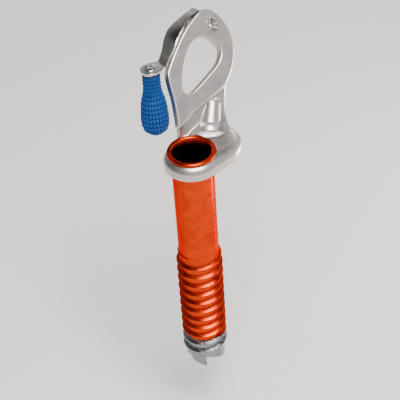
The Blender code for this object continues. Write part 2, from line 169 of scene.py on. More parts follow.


# %% [markdown]
# A Boolean cuts a piece with another solid, as a drill or a mill does on the real part. The
# exact solver can fail where two surfaces nearly meet, so the volume is measured after every
# step and a step that ruins the body is tried again or stops the script. `finish` gives a
# piece its paint in a material slot, its shading and the body it rides on, and hides the
# nodes it stands for.

# %% Helpers for modifiers and finishing
LEAST_LEFT = 0.5
NUDGES = (0.0, 0.00001, -0.00002, 0.00004)


def evaluated(obj):
    """The object's mesh with its modifiers carried out, which then go."""
    bpy.context.view_layer.update()
    graph = bpy.context.evaluated_depsgraph_get()
    mesh = bpy.data.meshes.new_from_object(obj.evaluated_get(graph))
    obj.modifiers.clear()
    obj.data = mesh
    return obj


def volume(mesh):
    """Volume of a closed mesh, in cubic metres."""
    shape = bmesh.new()
    shape.from_mesh(mesh)
    size = shape.calc_volume()
    shape.free()
    return size


def boolean(obj, others, operation):
    """Cuts or joins with each of the others in turn, then removes them.

    A step that loses most of the body is taken again with the other solid moved by a few
    hundredths of a millimetre; if no move helps, the script stops.
    """
    for other in others:
        before, size = obj.data, volume(obj.data)
        for nudge in NUDGES:
            other.location = (nudge, nudge / 2, -nudge / 3)
            step = obj.modifiers.new(other.name, "BOOLEAN")
            step.operation, step.solver, step.object = operation, "EXACT", other
            evaluated(obj)
            if volume(obj.data) > LEAST_LEFT * size:
                break
            obj.data = before
        else:
            raise RuntimeError(f"{other.name} could not be taken with {obj.name}")
        bpy.data.objects.remove(other)
    return obj


def finish(obj, body, nodes, paint, sharp=40):
    """Shades, paints and places one finished piece on its body."""
    obj.data.materials.clear()
    obj.data.materials.append(paint)
    obj.data.shade_smooth()
    obj.data.set_sharp_from_angle(angle=math.radians(sharp))
    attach(obj, body)
    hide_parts(*nodes)
    print(obj.name, len(obj.data.polygons), "faces on", body)
    return obj


# %% [markdown]
# ## Finishes
#
# Every material starts from a real stock and how its surface was made. A metal has metallic
# 1 and takes its colour in the reflection; plastics keep metallic 0 and an index of
# refraction near 1.5. Patterns are sized in millimetres: `per_mm` turns a real spacing into
# the texture scale, because texture coordinates are in metres.


# %% Colour and node helpers
def linear_channel(value):
    """One sRGB channel from 0 to 1 as linear light."""
    return value / 12.92 if value <= 0.04045 else ((value + 0.055) / 1.055) ** 2.4


def hex_colour(code):
    """An sRGB hex code as the linear colour that shaders work in."""
    return (*[linear_channel(int(code[i:i + 2], 16) / 255) for i in (0, 2, 4)], 1.0)


def per_mm(spacing):
    """Texture scale for features this many millimetres apart."""
    return 1.0 / (spacing * MM)


def new_material(name, colour, metallic, roughness):
    """A material and its shader, set to the plain values of its stock."""
    paint = bpy.data.materials.new(name)
    paint.use_nodes = True
    shader = paint.node_tree.nodes["Principled BSDF"]
    shader.inputs["Base Color"].default_value = hex_colour(colour)
    shader.inputs["Metallic"].default_value = metallic
    shader.inputs["Roughness"].default_value = roughness
    return paint, shader


def add(paint, kind, links=(), inputs=(), **settings):
    """One node with its settings; links are (socket here, other node, its socket)."""
    node = paint.node_tree.nodes.new(kind)
    for key, value in settings.items():
        setattr(node, key, value)
    for socket, value in inputs:
        node.inputs[socket].default_value = value
    for socket, other, output in links:
        paint.node_tree.links.new(other.outputs[output], node.inputs[socket])
    return node


def join(paint, source, output, target, socket):
    """One link from a node's output to another node's input."""
    paint.node_tree.links.new(source.outputs[output], target.inputs[socket])


def ramp(paint, source, output, low, high, colours):
    """A colour ramp between two positions of the source value."""
    node = add(paint, "ShaderNodeValToRGB", links=[("Fac", source, output)])
    for stop, place, colour in zip(node.color_ramp.elements, (low, high), colours):
        stop.position, stop.color = place, colour
    return node


def between(paint, source, output, low, high, to_low, to_high):
    """The source value moved from one range to another."""
    return add(paint, "ShaderNodeMapRange", links=[("Value", source, output)],
               inputs=[("From Min", low), ("From Max", high),
                       ("To Min", to_low), ("To Max", to_high)])


# %% [markdown]
# ### Tumbled aluminium
#
# The hanger is forged, then tumbled with small stones until its skin is evenly matt. The
# eye sees a soft, wide highlight, a very fine grain, a cloudy change in gloss where the
# stones reached less, and edges that shine a little more because they were hit most.

# %% Tumbled aluminium
tumbled, shader = new_material("aluminium_tumbled_satin", "bdb8b4", 1.0, 0.34)
place = add(tumbled, "ShaderNodeTexCoord")
# Gloss clouds are about a stone's width, 9 mm. The grain is drawn at 0.55 mm and the dents at
# 1.3 mm, coarser than the real tenth of a millimetre, which would be too fine to see.
clouds = add(tumbled, "ShaderNodeTexNoise", links=[("Vector", place, "Object")],
             inputs=[("Scale", per_mm(9.0)), ("Detail", 3.0)])
grain = add(tumbled, "ShaderNodeTexNoise", links=[("Vector", place, "Object")],
            inputs=[("Scale", per_mm(0.55)), ("Detail", 2.0), ("Roughness", 0.6)])
dents = add(tumbled, "ShaderNodeTexVoronoi", links=[("Vector", place, "Object")],
            inputs=[("Scale", per_mm(1.3)), ("Randomness", 1.0)], feature="SMOOTH_F1")
tone = ramp(tumbled, clouds, "Fac", 0.35, 0.7, (hex_colour("b1aca9"), hex_colour("c4bfbb")))
worn = add(tumbled, "ShaderNodeNewGeometry")
edge = between(tumbled, worn, "Pointiness", 0.5, 0.56, 0.0, 1.0)
lit = add(tumbled, "ShaderNodeMix", data_type="RGBA",
          links=[("Factor", edge, "Result"), (6, tone, "Color")],
          inputs=[(7, hex_colour("e6e2dc"))])
join(tumbled, lit, 2, shader, "Base Color")
gloss = between(tumbled, clouds, "Fac", 0.3, 0.75, 0.29, 0.4)
join(tumbled, gloss, "Result", shader, "Roughness")
low_bump = add(tumbled, "ShaderNodeBump", links=[("Height", dents, "Distance")],
               inputs=[("Strength", 0.12), ("Distance", 0.0001)])
fine_bump = add(tumbled, "ShaderNodeBump",
                links=[("Height", grain, "Fac"), ("Normal", low_bump, "Normal")],
                inputs=[("Strength", 0.45), ("Distance", 0.00009)])
join(tumbled, fine_bump, "Normal", shader, "Normal")
print("tumbled aluminium:", len(tumbled.node_tree.nodes), "nodes")

# %% [markdown]
# ### Orange anodised aluminium
#
# The tube is turned on a lathe, so it keeps rings about a tenth of a millimetre apart, then
# dyed orange in its oxide skin. The dye sits in the metal's own reflection, so the colour is
# a metal's: deep in shade and bright in the highlight.

# %% Orange anodising
anodised, shader = new_material("aluminium_orange_anodised", "c23a0c", 1.0, 0.3)
# Seen at a low angle the dye still colours what the metal mirrors, so the rim is not white.
shader.inputs["Specular Tint"].default_value = hex_colour("ff9a5c")
place = add(anodised, "ShaderNodeTexCoord")
# Lathe rings are drawn 0.45 mm apart: at their real tenth of a millimetre they would vanish.
rings = add(anodised, "ShaderNodeTexWave", links=[("Vector", place, "Object")],
            inputs=[("Scale", per_mm(0.45) / 20), ("Distortion", 0.4), ("Detail", 1.0)],
            bands_direction="Z")
# The dye takes unevenly in patches a few millimetres across.
stain = add(anodised, "ShaderNodeTexNoise", links=[("Vector", place, "Object")],
            inputs=[("Scale", per_mm(6.0)), ("Detail", 4.0)])
dye = ramp(anodised, stain, "Fac", 0.3, 0.75, (hex_colour("b52a06"), hex_colour("cf3f0c")))
# Down the bore little light comes back out, so the dye is drawn far darker there.
BORE_DARK, RIM_LIGHT = 8.35, 9.3
axis = add(anodised, "ShaderNodeVectorMath", operation="MULTIPLY_ADD",
           links=[(0, place, "Object")],
           inputs=[(1, (1, 1, 0)), (2, (-MOUTH.x, -MOUTH.y, 0))])
radius = add(anodised, "ShaderNodeVectorMath", operation="LENGTH", links=[(0, axis, "Vector")])
wall = between(anodised, radius, "Value", BORE_DARK * MM, RIM_LIGHT * MM,
               0.0, 1.0)
shade = add(anodised, "ShaderNodeMix", data_type="RGBA",
            links=[("Factor", wall, "Result"), (7, dye, "Color")],
            inputs=[(6, hex_colour("2c0a05"))])
join(anodised, shade, 2, shader, "Base Color")
gloss = between(anodised, stain, "Fac", 0.3, 0.75, 0.22, 0.36)
join(anodised, gloss, "Result", shader, "Roughness")
bump = add(anodised, "ShaderNodeBump", links=[("Height", rings, "Fac")],
           inputs=[("Strength", 0.15), ("Distance", 0.00005)])
join(anodised, bump, "Normal", shader, "Normal")

# %% [markdown]
# ### Polished stainless steel
#
# The crank is stamped from strip and barrel polished. It mirrors the room, so it swings from
# near black to white along a bend, and it carries hair-fine scratches along its length.

# %% Polished steel
polished, shader = new_material("stainless_steel_polished", "bab7b3", 1.0, 0.16)
place = add(polished, "ShaderNodeTexCoord")
# Scratches run along the strip: the pattern is stretched about twelve times that way. They
# are drawn half a millimetre apart, coarser than real hair-fine ones.
stretch = add(polished, "ShaderNodeMapping", links=[("Vector", place, "Object")],
              inputs=[("Rotation", (0.0, 0.6, PIN_TURN)), ("Scale", (1.0, 0.08, 1.0))])
hairs = add(polished, "ShaderNodeTexNoise", links=[("Vector", stretch, "Vector")],
            inputs=[("Scale", per_mm(0.5)), ("Detail", 3.0)])
haze = add(polished, "ShaderNodeTexNoise", links=[("Vector", place, "Object")],
           inputs=[("Scale", per_mm(5.0)), ("Detail", 2.0)])
tone = ramp(polished, haze, "Fac", 0.3, 0.7, (hex_colour("b1aeaa"), hex_colour("c4c1bd")))
join(polished, tone, "Color", shader, "Base Color")
gloss = between(polished, hairs, "Fac", 0.3, 0.7, 0.11, 0.24)
join(polished, gloss, "Result", shader, "Roughness")
bump = add(polished, "ShaderNodeBump", links=[("Height", hairs, "Fac")],
           inputs=[("Strength", 0.1), ("Distance", 0.00004)])
join(polished, bump, "Normal", shader, "Normal")

# %% [markdown]
# ### Moulded polyamide
#
# The knob is glass-filled nylon in a strong blue. Its mould was spark eroded, which leaves
# a fine matt grain; the tips of the bumps are drawn lighter in colour and smoother.

# %% Blue polyamide
nylon, shader = new_material("polyamide_blue_moulded", "044b98", 0.0, 0.42)
shader.inputs["IOR"].default_value = 1.53
shader.inputs["Specular IOR Level"].default_value = 0.2
place = add(nylon, "ShaderNodeTexCoord")
# Eroded moulds have a grain near a tenth of a millimetre; 0.35 mm keeps it visible.
grain = add(nylon, "ShaderNodeTexNoise", links=[("Vector", place, "Object")],
            inputs=[("Scale", per_mm(0.35)), ("Detail", 2.0)])
flow = add(nylon, "ShaderNodeTexNoise", links=[("Vector", place, "Object")],
           inputs=[("Scale", per_mm(7.0)), ("Detail", 2.0)])
base = ramp(nylon, flow, "Fac", 0.3, 0.7, (hex_colour("013778"), hex_colour("02428a")))
# The tips of the bumps, found by their pointiness, are drawn lighter and glossier.
worn = add(nylon, "ShaderNodeNewGeometry")
tips = between(nylon, worn, "Pointiness", 0.5, 0.62, 0.0, 1.0)
lit = add(nylon, "ShaderNodeMix", data_type="RGBA",
          links=[("Factor", tips, "Result"), (6, base, "Color")],
          inputs=[(7, hex_colour("055aa6"))])
join(nylon, lit, 2, shader, "Base Color")
gloss = between(nylon, tips, "Result", 0.0, 1.0, 0.5, 0.34)
join(nylon, gloss, "Result", shader, "Roughness")
bump = add(nylon, "ShaderNodeBump", links=[("Height", grain, "Fac")],
           inputs=[("Strength", 0.18), ("Distance", 0.00005)])
join(nylon, bump, "Normal", shader, "Normal")

# %% [markdown]
# ### Ground tool steel, spring steel and acetal
#
# The crown's teeth are ground after hardening, which leaves straight marks across a cool
# grey. The small rings are spring steel with a dark heat bloom. The sleeve inside the knob
# is black acetal, a waxy bearing plastic.


# %% Small-part finishes
def ground_metal(name, dark, light, spacing, direction, low, high):
    """A metal with straight grinding marks across one axis and a cloudy tone."""
    paint, target = new_material(name, light, 1.0, (low + high) / 2)
    where = add(paint, "ShaderNodeTexCoord")
    marks = add(paint, "ShaderNodeTexWave", links=[("Vector", where, "Object")],
                inputs=[("Scale", per_mm(spacing) / 20), ("Distortion", 6.0),
                        ("Detail", 3.0), ("Detail Scale", 2.0)],
                bands_direction=direction)
    cloud = add(paint, "ShaderNodeTexNoise", links=[("Vector", where, "Object")],
                inputs=[("Scale", per_mm(4.0)), ("Detail", 3.0)])
    shade = ramp(paint, cloud, "Fac", 0.3, 0.7, (hex_colour(dark), hex_colour(light)))
    join(paint, shade, "Color", target, "Base Color")
    shine = between(paint, marks, "Fac", 0.0, 1.0, low, high)
    join(paint, shine, "Result", target, "Roughness")
    relief = add(paint, "ShaderNodeBump", links=[("Height", marks, "Fac")],
                 inputs=[("Strength", 0.15), ("Distance", 0.00005)])
    join(paint, relief, "Normal", target, "Normal")
    return paint


# Grinding marks are drawn half a millimetre apart, coarser than real ones.
ground = ground_metal("tool_steel_ground", "6f7276", "8f9296", 0.5, "DIAGONAL", 0.24, 0.38)
bloomed = ground_metal("spring_steel_bloomed", "35332f", "57534c", 0.6, "X", 0.3, 0.45)

acetal, shader = new_material("acetal_black_moulded", "161718", 0.0, 0.4)
shader.inputs["IOR"].default_value = 1.48
place = add(acetal, "ShaderNodeTexCoord")
grain = add(acetal, "ShaderNodeTexNoise", links=[("Vector", place, "Object")],
            inputs=[("Scale", per_mm(0.8)), ("Detail", 2.0)])
gloss = between(acetal, grain, "Fac", 0.3, 0.7, 0.34, 0.5)
join(acetal, gloss, "Result", shader, "Roughness")
tone = ramp(acetal, grain, "Fac", 0.3, 0.7, (hex_colour("131415"), hex_colour("1c1d1f")))
join(acetal, tone, "Color", shader, "Base Color")
print("materials", [m.name for m in bpy.data.materials if m.use_nodes])

# %% [markdown]
# ## The hanger
#
# The real hanger is one forging: a flange under the tube's rim, a neck that leans back, and
# a flat ear with a large eye. Forgings have no sharp inside corners. The way here: draw each
# region as its own closed solid, fuse them on a voxel grid, smooth the result a little so
# that every meeting line becomes a fillet, and only then cut the machined holes crisp.

# %% The ear's own frame
EAR_LEAN, EAR_TILT, EAR_TWIST = 49.5, -4.0, 26.0
EAR_TURN = (Euler((math.radians(EAR_LEAN), 0, 0)).to_matrix()
            @ Euler((0, 0, math.radians(EAR_TILT))).to_matrix()
            @ Euler((0, math.radians(EAR_TWIST), 0)).to_matrix())
EAR_BASE = Vector((0.0, 5.1, -4.35))
EAR_THICKNESS = 5.0


def ear_point(p, q, r):
    """A point across (p), along (q) and out of (r) the ear."""
    return EAR_BASE + EAR_TURN @ Vector((p, q, r))


# Points of the outline as (across, along, width of the rounded edge there).
EAR_RIM = [(9.5, 66.5, 0.8), (15.5, 63.0, 0.8), (20.2, 57.0, 0.9), (22.5, 49.5, 1.1),
           (22.4, 41.5, 1.5), (20.3, 34.0, 2.2), (16.5, 29.0, 2.4), (11.0, 24.6, 2.3),
           (3.0, 18.0, 2.2), (-4.4, 11.2, 1.8), (-6.3, 10.2, 0.6), (-7.0, 14.5, 0.4),
           (-8.8, 23.0, 0.4), (-11.0, 30.0, 0.4), (-12.0, 35.0, 0.4), (-10.3, 40.5, 0.4),
           (-7.1, 48.0, 0.4), (-2.9, 56.2, 0.45), (2.2, 63.0, 0.6), (5.4, 65.6, 0.7)]
EAR_EYE = [(5.2, 53.2, 0.8), (10.8, 52.2, 0.8), (15.0, 47.8, 0.8), (14.2, 41.8, 0.7),
           (8.2, 34.6, 0.6), (1.4, 27.6, 0.6), (-2.2, 26.3, 0.6), (-4.3, 28.6, 0.5),
           (-4.3, 35.0, 0.5), (-3.1, 42.0, 0.5), (0.4, 49.6, 0.7)]
BACK_EDGE, DEEPEST_EDGE = 0.9, 2.0
print("ear drawn from", len(EAR_RIM), "rim points and", len(EAR_EYE), "eye points")

# %% [markdown]
# The plate is built from its two outlines, the rim and the eye. Each becomes rings that step
# round the front edge, down the wall and round the back edge; the flat faces fill the space
# between. The widths in the tables let one edge be sharp and another broadly rounded, as a
# forging that has been trimmed on one side.


# %% The ear as a plate with rounded edges
def smooth_loop(points, per_gap):
    """The smooth line through the points, closed on itself."""
    wrapped = [points[-1]] + points + [points[0], points[1]]
    line = smooth_line(wrapped, per_gap)
    return line[per_gap:per_gap * (len(points) + 1)]


def inset_loop(loop, share, flat=None):
    """The loop moved into the plate by a share of its own edge width."""
    moved = []
    for k, (x, y, width) in enumerate(loop):
        before, after = loop[k - 1], loop[(k + 1) % len(loop)]
        along = Vector((after[0] - before[0], after[1] - before[1])).normalized()
        step = share * (width if flat is None else flat)
        moved.append((x - along.y * step, y + along.x * step))
    return moved


def wall_rings(loop, thickness):
    """Rings down one wall of the plate, rounded at the front and at the back."""
    rings = []
    for k in range(5):
        t = math.pi / 8 * k
        ring = inset_loop(loop, 1 - math.sin(t))
        depth = [(1 - math.cos(t)) * min(width, DEEPEST_EDGE) for _, _, width in loop]
        rings.append([(x, y, -d) for (x, y), d in zip(ring, depth)])
    for k in range(5):
        t = math.pi / 8 * (4 - k)
        ring = inset_loop(loop, 1 - math.sin(t), BACK_EDGE)
        rings.append([(x, y, (1 - math.cos(t)) * BACK_EDGE - thickness) for x, y in ring])
    return rings


def plate(name, loops, thickness, place):
    """A flat plate between its rim and its eye, filled front and back."""
    shape = bmesh.new()
    fronts, backs = [], []
    for loop in loops:
        rows = [[shape.verts.new(place @ Vector(point)) for point in ring]
                for ring in wall_rings(loop, thickness)]
        size = len(loop)
        for upper, lower in zip(rows, rows[1:]):
            for i in range(size):
                shape.faces.new((upper[i], upper[(i + 1) % size], lower[(i + 1) % size], lower[i]))
        for row, edges in ((rows[0], fronts), (rows[-1], backs)):
            edges += [shape.edges.get((row[i], row[(i + 1) % size])) for i in range(size)]
    for edges in (fronts, backs):
        bmesh.ops.triangle_fill(shape, edges=edges, use_beauty=True)
    bmesh.ops.recalc_face_normals(shape, faces=shape.faces)
    mesh = bpy.data.meshes.new(name)
    shape.to_mesh(mesh)
    shape.free()
    obj = bpy.data.objects.new(name, mesh)
    bpy.context.scene.collection.objects.link(obj)
    return obj


def counter_clockwise(points):
    """The outline turned round if need be, so every wall faces outward."""
    area = sum(a[0] * b[1] - b[0] * a[1] for a, b in zip(points, points[1:] + points[:1]))
    return points if area > 0 else points[::-1]


STEPS_PER_POINT = 8
rim_loop = smooth_loop(counter_clockwise(EAR_RIM), STEPS_PER_POINT)
eye_loop = smooth_loop(counter_clockwise(EAR_EYE)[::-1], STEPS_PER_POINT)
ear_place = head @ Matrix.Translation(ear_point(0, 0, 0)) @ EAR_TURN.to_4x4()
ear = plate("hanger_forging", [rim_loop, eye_loop], EAR_THICKNESS, ear_place)
print("ear plate", len(ear.data.polygons), "faces")

# %% [markdown]
# The neck grows from a wide foot inside the flange to a narrow root under the ear's right
# limb. Seven sections are enough; a smooth line through them fills in the rest. A column, a
# thin web and a flange join it, and small lugs behind the ear carry the crank's pin. Each is
# a separate closed solid here, and they may overlap freely.


# %% Neck, column, flange and hinge lugs
def superellipse(centre, wide, deep, sharpness=2.4, points=48):
    """A ring between an ellipse and a rectangle, squarer as the sharpness grows."""
    ring = []
    for i in range(points):
        t = 2 * math.pi * i / points
        c, s = math.cos(t), math.sin(t)
        ring.append(centre + wide * math.copysign(abs(c) ** (2 / sharpness), c)
                    + deep * math.copysign(abs(s) ** (2 / sharpness), s))
    return ring


# Each neck section: centre, half width, half depth, how far it has turned to the ear.
NECK = [(8.0, 11.6, -7.6, 13.5, 7.9, 0.0), (8.8, 16.0, -3.9, 11.2, 5.5, 0.0),
        (9.5, 21.5, -0.7, 8.6, 3.3, 0.0), (10.3, 26.2, 3.2, 7.1, 2.9, 0.1),
        (11.8, 30.3, 7.9, 6.4, 2.7, 0.4), (14.2, 33.4, 13.2, 4.9, 2.5, 0.8),
        (16.2, 36.6, 18.9, 3.3, 1.9, 1.0)]
UPRIGHT_STEPS = 6
neck_line = smooth_line(NECK, 6)
rings, across, along_ear = [], Vector((0.998, -0.045, -0.053)), EAR_TURN.col[0]
for k, (x, y, z, wide, deep, turn) in enumerate(neck_line):
    before = Vector(neck_line[max(k - 1, 0)][:3])
    after = Vector(neck_line[min(k + 1, len(neck_line) - 1)][:3])
    upright = max(0.0, 1 - k / UPRIGHT_STEPS)
    path = (after - before).normalized().lerp(Vector((0, 0, 1)), upright).normalized()
    side = across.lerp(along_ear, turn)
    side = (side - path * side.dot(path)).normalized()
    rings.append(superellipse(Vector((x, y, z)), side * wide, path.cross(side) * deep))
neck = skin("neck", rings, head)


def rod(name, start, end, radius, end_radius=None, place=head, sides=64, rounding=0.0):
    """A round bar between two points, with its ends rounded off if asked."""
    start, end = Vector(start), Vector(end)
    axis = (end - start).normalized()
    side = axis.orthogonal().normalized()
    up = axis.cross(side)
    end_radius = radius if end_radius is None else end_radius
    stops = [(0.0, radius - rounding), (rounding, radius), ((end - start).length - rounding,
             end_radius), ((end - start).length, end_radius - rounding)]
    if rounding == 0.0:
        stops = [stops[0], stops[-1]]
    rings = [[start + axis * s + (side * math.cos(2 * math.pi * i / sides)
                                  + up * math.sin(2 * math.pi * i / sides)) * r
              for i in range(sides)] for s, r in stops]
    return skin(name, rings, place)


column = rod("column", (9.2, 18.0, -2.2), (11.3, 27.6, 6.6), 5.4, 4.2, rounding=0.5)
foot = rod("foot", (8.95, 15.1, -3.95), (9.4, 18.8, -1.45), 6.15, 5.9, rounding=0.15)

# The web closes the angle between the flange and the ear's low limb.
WEB = [(-6.2, 12.2, -4.0, -5.5, 14.0), (1.0, 15.5, -2.0, 1.0, 21.0),
       (7.0, 21.5, 1.0, 8.0, 27.5), (11.0, 28.5, 6.5, 14.0, 33.0)]
WEB_THICKNESS, WEB_DEPTH = 3.5, 1.5
web_half = EAR_TURN.col[2] * WEB_THICKNESS / 2
rings = []
for x, y, z, p, q in smooth_line(WEB, 5):
    low, high = Vector((x, y, z)), ear_point(p, q, WEB_DEPTH - EAR_THICKNESS)
    rings.append([low - web_half, low + web_half, high + web_half, high - web_half])
web = skin("web", rings, head)


# Each arc of the flange's plan: centre, radius, start and end angle in degrees.
FLANGE_ARCS = (((0, 0), 13.4, 131, 316), ((9.5, 9.5), 14.4, -43, 128))


def flange_ring(inset, z):
    """The flange's plan at one height: a round seat drawn out towards the neck."""
    ring = []
    for centre, radius, start, stop in FLANGE_ARCS:
        for k in range(41):
            t = math.radians(start + (stop - start) * k / 40)
            ring.append(Vector((centre[0] + (radius - inset) * math.cos(t),
                                centre[1] + (radius - inset) * math.sin(t), z)))
    return ring


ICE_FACE, HEAD_TOP = -9.0, -1.4
flange = skin("flange", [flange_ring(i, z) for i, z in (
    (0.6, ICE_FACE), (0.15, ICE_FACE + 0.25), (0.0, ICE_FACE + 0.7), (0.0, -5.2), (0.3, -4.0),
    (1.1, -2.8), (2.4, -1.9), (4.0, HEAD_TOP))], head)


def squared(name, low, high, place):
    """A block from corner to corner in the given frame."""
    (x0, y0, z0), (x1, y1, z1) = low, high
    return skin(name, [[(x0, y0, z), (x1, y0, z), (x1, y1, z), (x0, y1, z)] for z in (z0, z1)],
                place)


PIN_RADIUS, FIT, BARREL_RADIUS = 2.6, 0.15, 3.8
KNUCKLE_WIDTH, KNUCKLE_BACK, CHEEK_GAP, BACK_WALL = 4.0, 10.3, 0.3, 1.5
SLOT_LEAN = math.radians(36)
slot_place = crank @ Matrix.Rotation(SLOT_LEAN, 4, "X")
cheek = KNUCKLE_WIDTH / 2 + CHEEK_GAP
back = cheek + BACK_WALL
barrel = rod("barrel", (KNUCKLE_BACK - 5.0, 0, 0), (-back, 0, 0), BARREL_RADIUS, place=crank,
             rounding=0.3)
bridge = squared("bridge", (0.15 - back, -8.4, -2.4), (KNUCKLE_BACK - 5.2, -4.7, 1.0), slot_place)
lug = squared("lug", (0.3 - back, -8.1, -2.8), (0.2 - cheek, -0.4, 1.0), slot_place)
print("neck and flange:", len(neck.data.polygons), "and", len(flange.data.polygons), "faces")

# %% [markdown]
# A voxel remesh keeps only the outside of everything that overlaps, so the separate solids
# become one skin without a single Boolean. The smoothing that follows rounds each inside
# corner like the radius of a forging die.

# %% Fuse and smooth
VOXEL = 0.34
PLATE_BACK, PLATE_FRONT = 0.7 - EAR_THICKNESS, 0.4
bodies = [neck, column, web, flange, barrel, bridge, lug]
shape = bmesh.new()
for body in [ear] + bodies:
    shape.from_mesh(body.data)
shape.to_mesh(ear.data)
shape.free()
for body in bodies:
    bpy.data.objects.remove(body)
fuse = ear.modifiers.new("Fuse", "REMESH")
fuse.mode, fuse.voxel_size = "VOXEL", VOXEL * MM
evaluated(ear)
to_ear = ear_place.inverted()
regions = {"plate": [], "blend": []}
for vertex in ear.data.vertices:
    p, q, r = to_ear @ vertex.co
    in_plate = PLATE_BACK < r < PLATE_FRONT
    regions["plate" if in_plate else "blend"].append(vertex.index)
for name, passes in (("plate", 3), ("blend", 30)):
    ear.vertex_groups.clear()
    ear.vertex_groups.new(name=name).add(regions[name], 1.0, "REPLACE")
    relax = ear.modifiers.new("Relax", "SMOOTH")
    relax.factor, relax.iterations, relax.vertex_group = 0.5, passes, name
    evaluated(ear)
boolean(ear, [foot], "UNION")
print("fused hanger", len(ear.data.polygons), "faces")

# %% [markdown]
# The holes are machined after forging, so their edges stay crisp: the bore for the tube,
# the slanted bore for the hinge pin, the slot for the crank's knuckle and the room it swings
# through, and the recess under the flange for the ring that holds the tube. The pin's bore
# goes first, while the walls round it are still whole; that keeps the exact solver steady.

# %% Machined cuts
TUBE_RADIUS, RIM_RADIUS, RING_RADIUS = 10.0, 11.6, 12.0
slot_cut = squared("slot", (-cheek, -13.0, 1.5), (cheek, 13.0, 12.3), slot_place)
swing_cut = squared("swing", (-cheek - 0.01, -4.55, -4.5), (cheek + 0.01, 13.0, 1.6), slot_place)
stop_cut = squared("stop", (-cheek - 0.02, -1.65, -9.5), (cheek + 0.02, 14.0, -4.3), slot_place)
tube_cut = rod("tube_cut", (0, 0, -20), (0, 0, 10), TUBE_RADIUS + FIT, sides=128)
pin_cut = rod("pin_cut", (KNUCKLE_BACK + 9.3, 0, 0), (-9.7, 0, 0), PIN_RADIUS + FIT, place=crank,
              sides=61)
ring_cut = rod("ring_cut", (0, 0, ICE_FACE - 3), (0, 0, ICE_FACE + 2.2), RING_RADIUS,
               sides=128)
seat_cut = rod("seat_cut", (0, 0, HEAD_TOP), (0, 0, 2.4), RIM_RADIUS + 0.35, sides=128)
boolean(ear, [pin_cut, tube_cut, slot_cut, swing_cut, stop_cut, ring_cut, seat_cut],
        "DIFFERENCE")
finish(ear, "screw", ["hanger"], tumbled, sharp=50)

# %% [markdown]
# ## The tube
#
# A thin-walled tube with a rolled rim at its mouth. The thread is a helical ridge, low and
# wide at its root, that fades in behind the teeth and out again up the tube.

# %% Tube and thread
TIP = (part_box("cutting_crown")[0].z - MOUTH.z) / MM
CROWN_LENGTH, BORE, SPIGOT = 20.0, 8.2, 8.9
SEAM = TIP + CROWN_LENGTH
THREAD_PITCH, THREAD_HEIGHT, THREAD_LENGTH, TOOTH_DEPTH = 6.0, 1.6, 70.0, 6.5


def thread(name, steps=64):
    """The whole ridge as a skin of six-sided sections along a helix."""
    start = TIP + TOOTH_DEPTH + 1.5
    count = int(THREAD_LENGTH / THREAD_PITCH * steps)
    rings = []
    for i in range(count + 1):
        t = 2 * math.pi * i / steps
        fade = min(1.0, 0.25 + 0.75 * i / (steps / 2), 0.25 + 0.75 * (count - i) / steps)
        z = start + THREAD_PITCH * i / steps
        section = ((-0.6, -2.0), (THREAD_HEIGHT * 0.8, -0.5), (THREAD_HEIGHT, -0.25),
                   (THREAD_HEIGHT, 0.25), (THREAD_HEIGHT * 0.8, 0.45), (-0.6, 1.25))
        ring = [(TUBE_RADIUS + x * fade, z + y * fade) for x, y in section]
        rings.append([(r * math.cos(t), r * math.sin(t), height) for r, height in ring])
    return skin(name, rings, head)


rim = [(BORE, SEAM + 6.2), (BORE, -4.2), (8.6, -2.8), (9.0, -1.6), (9.25, -0.8), (9.55, -0.3),
       (9.95, -0.05), (10.4, 0.0), (10.9, -0.06), (11.3, -0.27), (11.52, -0.6),
       (RIM_RADIUS, -0.95), (RIM_RADIUS, HEAD_TOP + 0.2), (TUBE_RADIUS, HEAD_TOP + 0.1),
       (TUBE_RADIUS, SEAM + 0.45), (9.7, SEAM + 0.15), (SPIGOT, SEAM + 0.15), (SPIGOT, SEAM + 6.2)]
tube = turned("tube_turned", rim, head, steps=128)
boolean(tube, [thread("ridge_up")], "UNION")
boolean(tube, [rod("below", (0, 0, SEAM - 40), (0, 0, SEAM + 0.15), 20.0)], "DIFFERENCE")
finish(tube, "screw", ["tube"], anodised, sharp=35)

# %% [markdown]
# ## The crank arm
#
# The arm is steel strip, 1.5 mm thick. It starts narrow in the hanger's slot, widens as it
# comes down beside the ear, and bends level into a round tab. One rounded section carried
# along a smooth line gives the whole strip; the knuckle that turns on the pin is added.


# %% Strip, knuckle and tab
STRIP = 1.5


def strip_section(aside, reach, z, width, slope, corner=0.38):
    """A rounded strip section square to its path."""
    ring = []
    half_w, half_t = max(width / 2, 0.5) - corner, STRIP / 2 - corner
    for cx, cy, start in ((half_w, half_t, 0), (-half_w, half_t, 90), (-half_w, -half_t, 180),
                          (half_w, -half_t, 270)):
        for k in range(5):
            t = math.radians(start + 22.5 * k)
            u, v = cx + corner * math.cos(t), cy + corner * math.sin(t)
            ring.append((aside + u, -reach - v * math.sin(slope), z + v * math.cos(slope)))
    return ring


TAB_SIDE, TAB_REACH, TAB_RADIUS = 0.6, 35.7, 4.8
TAB_MIDDLE = (KNOB - HINGE).z / MM + STRIP / 2
# Each station: aside, out from the hinge, up, width, slope.
ARM = [(0.0, 1.2, 4.6, 4.0, 0.0), (0.0, 5.0, 4.6, 4.0, 0.05), (0.0, 7.8, 4.35, 4.1, 0.14),
       (0.2, 10.0, 4.0, 4.9, 0.24), (0.6, 13.8, 3.3, 6.3, 0.34), (1.0, 17.4, 2.3, 7.1, 0.5),
       (1.65, 20.0, 1.1, 7.3, 0.66), (2.1, 22.5, -1.0, 7.0, 0.86), (2.35, 24.5, -3.6, 6.2, 0.92),
       (2.4, 26.1, -5.2, 5.6, 0.84), (2.4, 27.4, -6.8, 5.5, 0.68),
       (2.4, 28.7, TAB_MIDDLE + 0.1, 5.9, 0.2), (2.1, 30.4, TAB_MIDDLE, 7.0, 0.0)]
stations = smooth_line(ARM, 6)
